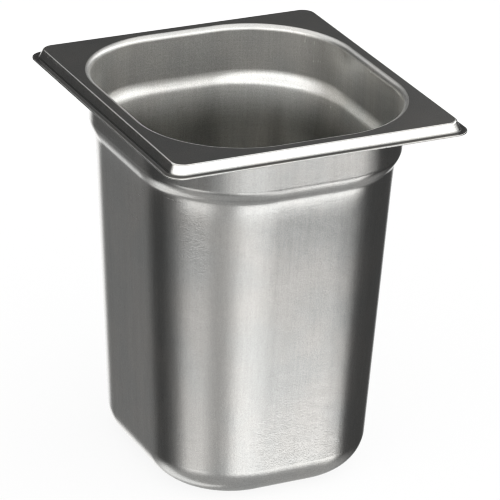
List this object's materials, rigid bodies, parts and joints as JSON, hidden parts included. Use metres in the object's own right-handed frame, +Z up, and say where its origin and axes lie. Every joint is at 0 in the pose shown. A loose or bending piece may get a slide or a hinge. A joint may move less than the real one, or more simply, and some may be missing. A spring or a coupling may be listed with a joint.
{
  "type": "deli food pan",
  "caption": "Deep rectangular stainless food pan with a flat folded rim to hang it by, a stacking shoulder under the collar, tapered walls and a rounded base.",
  "frame": {"origin": "centre of the underside of the base, on the plane the pan stands on", "axes": "+Z up, towards the open top; X along the short side of the flange (162 mm); Y along the long side of the flange (176 mm)"},
  "size_m": [0.162, 0.176, 0.2],
  "materials": {
    "stainless": "satin rolled stainless steel sheet, drawn, faint vertical draw marks and fine grain"
  },
  "bodies": {
    "root": {"pan": "stainless"}
  },
  "joints": []
}
